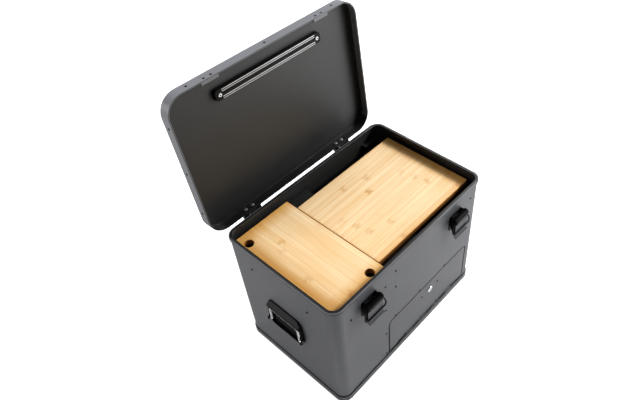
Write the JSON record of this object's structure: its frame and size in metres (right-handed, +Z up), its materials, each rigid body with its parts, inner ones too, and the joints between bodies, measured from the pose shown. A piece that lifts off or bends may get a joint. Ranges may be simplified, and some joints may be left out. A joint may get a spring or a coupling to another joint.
{
  "type": "chuck box",
  "caption": "Camp kitchen box with an overlapping hinged lid, draw latches, drop handles, a lockable front flap, cutting boards and a magnetic knife bar.",
  "frame": {"origin": "middle of the body's footprint, on the underside of the floor pan that rests on the ground", "axes": "+X along the body's length to the right as seen from the front, +Y to the back where the lid hinges are, +Z up"},
  "size_m": [0.6112, 0.5088, 0.7933],
  "materials": {
    "wall_coat": "fine-textured anthracite powder coat",
    "profile_coat": "satin dark powder coat on the extrusions",
    "inner_coat": "dark powder coat on folded brackets",
    "latch_black": "black moulded latch and handle housings",
    "bail_black": "black coated spring wire",
    "handle_steel": "plated steel rod",
    "grip_rubber": "soft black grip",
    "bright_screw": "stainless button heads",
    "black_rivet": "black blind rivets and screws",
    "bamboo": "oiled laminated bamboo",
    "bar_plastic": "black moulded bar with magnets inside",
    "rail_steel": "bright steel rails",
    "lock_metal": "polished zinc cam lock",
    "spring_steel": "spring steel"
  },
  "bodies": {
    "box": {"body_shell": "wall_coat", "floor_pan": "inner_coat", "rim_profile": "profile_coat", "base_profile": "profile_coat", "divider_panel": "inner_coat", "left_ledge": "inner_coat", "right_ledge": "inner_coat", "front_ledge": "inner_coat", "cross_plate": "inner_coat", "compartment_shelf": "inner_coat", "divider_rivets": "black_rivet", "shelf_rivets": "black_rivet", "ledge_screws": "black_rivet", "hinge_brackets": "inner_coat", "hinge_pins": "handle_steel", "hinge_rivets": "black_rivet", "left_latch_base": "latch_black", "right_latch_base": "latch_black", "latch_pins": "black_rivet", "latch_rivets": "black_rivet", "right_handle_dish": "latch_black", "left_handle_dish": "latch_black", "handle_rivets": "black_rivet", "hinge_strip": "inner_coat", "flap_hinge_pin": "handle_steel", "left_handle_spring": "spring_steel", "right_handle_spring": "spring_steel"},
    "lid": {"lid_shell": "wall_coat", "lid_edge_strip": "profile_coat", "lid_rivets": "black_rivet", "lid_hinge_leaves": "inner_coat", "hinge_screws": "bright_screw", "hinge_nuts": "bright_screw", "latch_catches": "inner_coat", "catch_rivets": "black_rivet", "knife_bar": "bar_plastic", "knife_rails": "rail_steel", "knife_bar_screws": "bright_screw"},
    "left_lever": {"left_latch_lever": "latch_black"},
    "right_lever": {"right_latch_lever": "latch_black"},
    "left_bail": {"left_latch_bail": "bail_black"},
    "right_bail": {"right_latch_bail": "bail_black"},
    "left_bow": {"left_handle_bow": "handle_steel", "left_handle_grip": "grip_rubber"},
    "right_bow": {"right_handle_bow": "handle_steel", "right_handle_grip": "grip_rubber"},
    "flap": {"front_flap": "wall_coat", "flap_hinge_leaf": "inner_coat", "flap_rivets": "black_rivet", "lock_body": "lock_metal", "lock_nut": "lock_metal"},
    "lock": {"lock_plug": "lock_metal", "lock_cam": "lock_metal", "lock_cam_nut": "lock_metal"},
    "small_board": {"small_board": "bamboo"},
    "large_board": {"large_board": "bamboo"}
  },
  "joints": [
    {"name": "lid_hinge", "type": "hinge", "parent": "box", "child": "lid", "pos_m": [0, 0.21261, 0.37995], "axis": [1, 0, 0], "range_deg": [0, 95.45]},
    {"name": "left_lever_pivot", "type": "hinge", "parent": "box", "child": "left_lever", "pos_m": [-0.175, -0.20305, 0.3678], "axis": [-1, 0, 0], "range_deg": [0, 110]},
    {"name": "left_bail_pivot", "type": "hinge", "parent": "left_lever", "child": "left_bail", "pos_m": [-0.175, -0.20305, 0.3603], "axis": [-1, 0, 0], "range_deg": [0, 88]},
    {"name": "left_handle_pivot", "type": "hinge", "parent": "box", "child": "left_bow", "pos_m": [-0.29735, 0, 0.188], "axis": [0, -1, 0], "range_deg": [0, 80], "stiffness_Nm_per_rad": 0.06, "springref_deg": -57.3},
    {"name": "right_lever_pivot", "type": "hinge", "parent": "box", "child": "right_lever", "pos_m": [0.175, -0.20305, 0.3678], "axis": [-1, 0, 0], "range_deg": [0, 110]},
    {"name": "right_bail_pivot", "type": "hinge", "parent": "right_lever", "child": "right_bail", "pos_m": [0.175, -0.20305, 0.3603], "axis": [-1, 0, 0], "range_deg": [0, 88]},
    {"name": "right_handle_pivot", "type": "hinge", "parent": "box", "child": "right_bow", "pos_m": [0.29735, 0, 0.188], "axis": [0, 1, 0], "range_deg": [0, 80], "stiffness_Nm_per_rad": 0.06, "springref_deg": -57.3},
    {"name": "flap_hinge", "type": "hinge", "parent": "box", "child": "flap", "pos_m": [0, -0.18945, 0.0246], "axis": [1, 0, 0], "range_deg": [0, 90]},
    {"name": "lock_turn", "type": "hinge", "parent": "flap", "child": "lock", "pos_m": [0.0784, -0.18755, 0.132], "axis": [0, -1, 0], "range_deg": [0, 90]},
    {"name": "small_board_lift", "type": "slide", "parent": "box", "child": "small_board", "axis": [0, 0, 1], "range_m": [0, 0.08]},
    {"name": "large_board_lift", "type": "slide", "parent": "box", "child": "large_board", "axis": [0, 0, 1], "range_m": [0, 0.08]}
  ]
}
